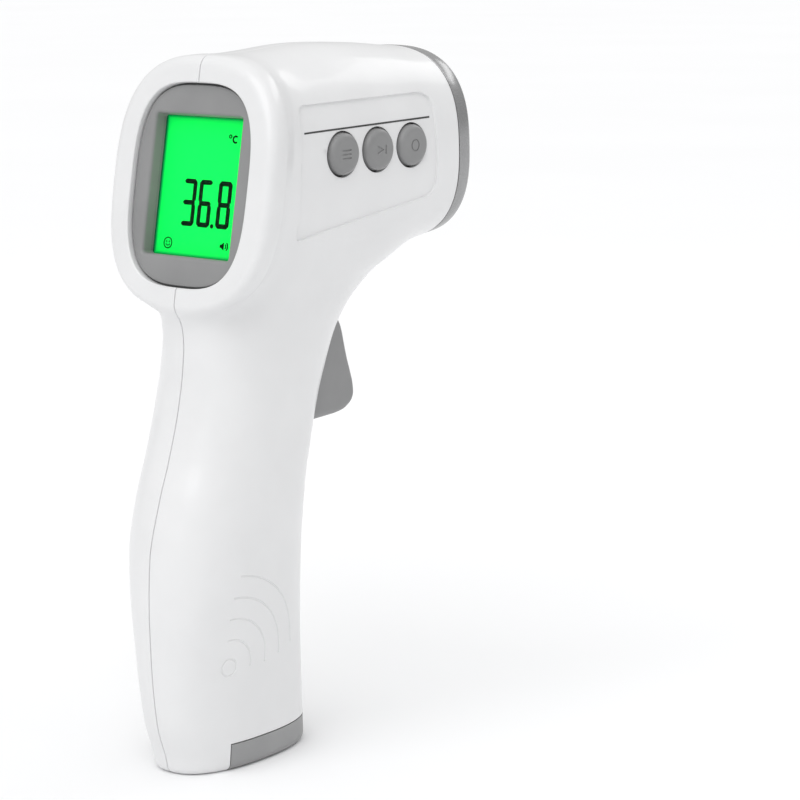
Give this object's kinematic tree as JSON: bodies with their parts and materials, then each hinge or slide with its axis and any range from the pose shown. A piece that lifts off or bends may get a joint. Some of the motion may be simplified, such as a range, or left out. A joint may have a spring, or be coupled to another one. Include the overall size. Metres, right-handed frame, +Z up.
{
  "type": "digital thermometer",
  "caption": "Pistol-shaped non-contact infrared thermometer with a backlit display, side buttons, trigger, sensor nose and hinged battery door.",
  "frame": {"origin": "on the resting surface, under the middle of the grip", "axes": "+X out of the sensor nose, +Y to the user's left, +Z up"},
  "size_m": [0.0916, 0.0484, 0.1649],
  "materials": {
    "shell": "smooth satin gloss",
    "grey_plastic": "fine moulded satin",
    "nose_silver": "silver-grey satin",
    "dark_plastic": "matt",
    "lens": "clear polished",
    "lcd": "backlit, glowing green",
    "diffuser": "translucent white",
    "board": "solder resist",
    "chip": "matt moulded",
    "steel": "fine brushed",
    "spring_wire": "bright drawn wire",
    "cell_wrap": "printed-film gloss",
    "ribbon": "satin film",
    "cradle": "moulded"
  },
  "bodies": {
    "case": {"right_shell": "shell", "left_shell": "shell", "display_lens": "lens", "display_bezel": "grey_plastic", "lcd_panel": "lcd", "backlight_diffuser": "diffuser", "display_board": "board", "nose_ring": "nose_silver", "nose_plate": "dark_plastic", "sensor_tube": "steel", "sensor_holder": "dark_plastic", "thermopile_sensor": "steel", "rear_tact_switch": "chip", "middle_tact_switch": "chip", "front_tact_switch": "chip", "main_board": "board", "control_chip": "chip", "buzzer": "chip", "capacitor": "cell_wrap", "sensor_cable": "dark_plastic", "display_ribbon": "ribbon", "trigger_pin": "steel", "trigger_switch": "chip", "trigger_board": "board", "battery_cell_front": "cell_wrap", "battery_cell_rear": "cell_wrap", "battery_cradle": "cradle", "upper_flat_contact": "steel", "upper_spring_contact": "spring_wire", "door_hinge_pin": "steel", "case_screw_1": "steel", "case_screw_2": "steel", "case_screw_3": "steel", "case_screw_4": "steel", "case_screw_5": "steel"},
    "trigger": {"trigger": "grey_plastic", "trigger_spring": "spring_wire"},
    "rear_button": {"rear_button": "grey_plastic"},
    "middle_button": {"middle_button": "grey_plastic"},
    "front_button": {"front_button": "grey_plastic"},
    "battery_door": {"battery_door": "grey_plastic", "door_contact_plate": "steel", "door_contact_spring": "spring_wire"}
  },
  "joints": [
    {"name": "trigger_pull", "type": "hinge", "parent": "case", "child": "trigger", "pos_m": [0.0255, 0, 0.1015], "axis": [0, 1, 0], "range_deg": [0, 7], "stiffness_Nm_per_rad": 0.3, "springref_deg": -5.73},
    {"name": "rear_button_press", "type": "slide", "parent": "case", "child": "rear_button", "axis": [0.0415, 0.9991, 0], "range_m": [0, 0.0008], "stiffness_N_per_m": 1200, "springref_m": -0.0003},
    {"name": "middle_button_press", "type": "slide", "parent": "case", "child": "middle_button", "axis": [0.0415, 0.9991, 0], "range_m": [0, 0.0008], "stiffness_N_per_m": 1200, "springref_m": -0.0003},
    {"name": "front_button_press", "type": "slide", "parent": "case", "child": "front_button", "axis": [0.0415, 0.9991, 0], "range_m": [0, 0.0008], "stiffness_N_per_m": 1200, "springref_m": -0.0003},
    {"name": "battery_door_swing", "type": "hinge", "parent": "case", "child": "battery_door", "pos_m": [-0.0155, 0, 0.0015], "axis": [0, 1, 0], "range_deg": [0, 95]}
  ]
}
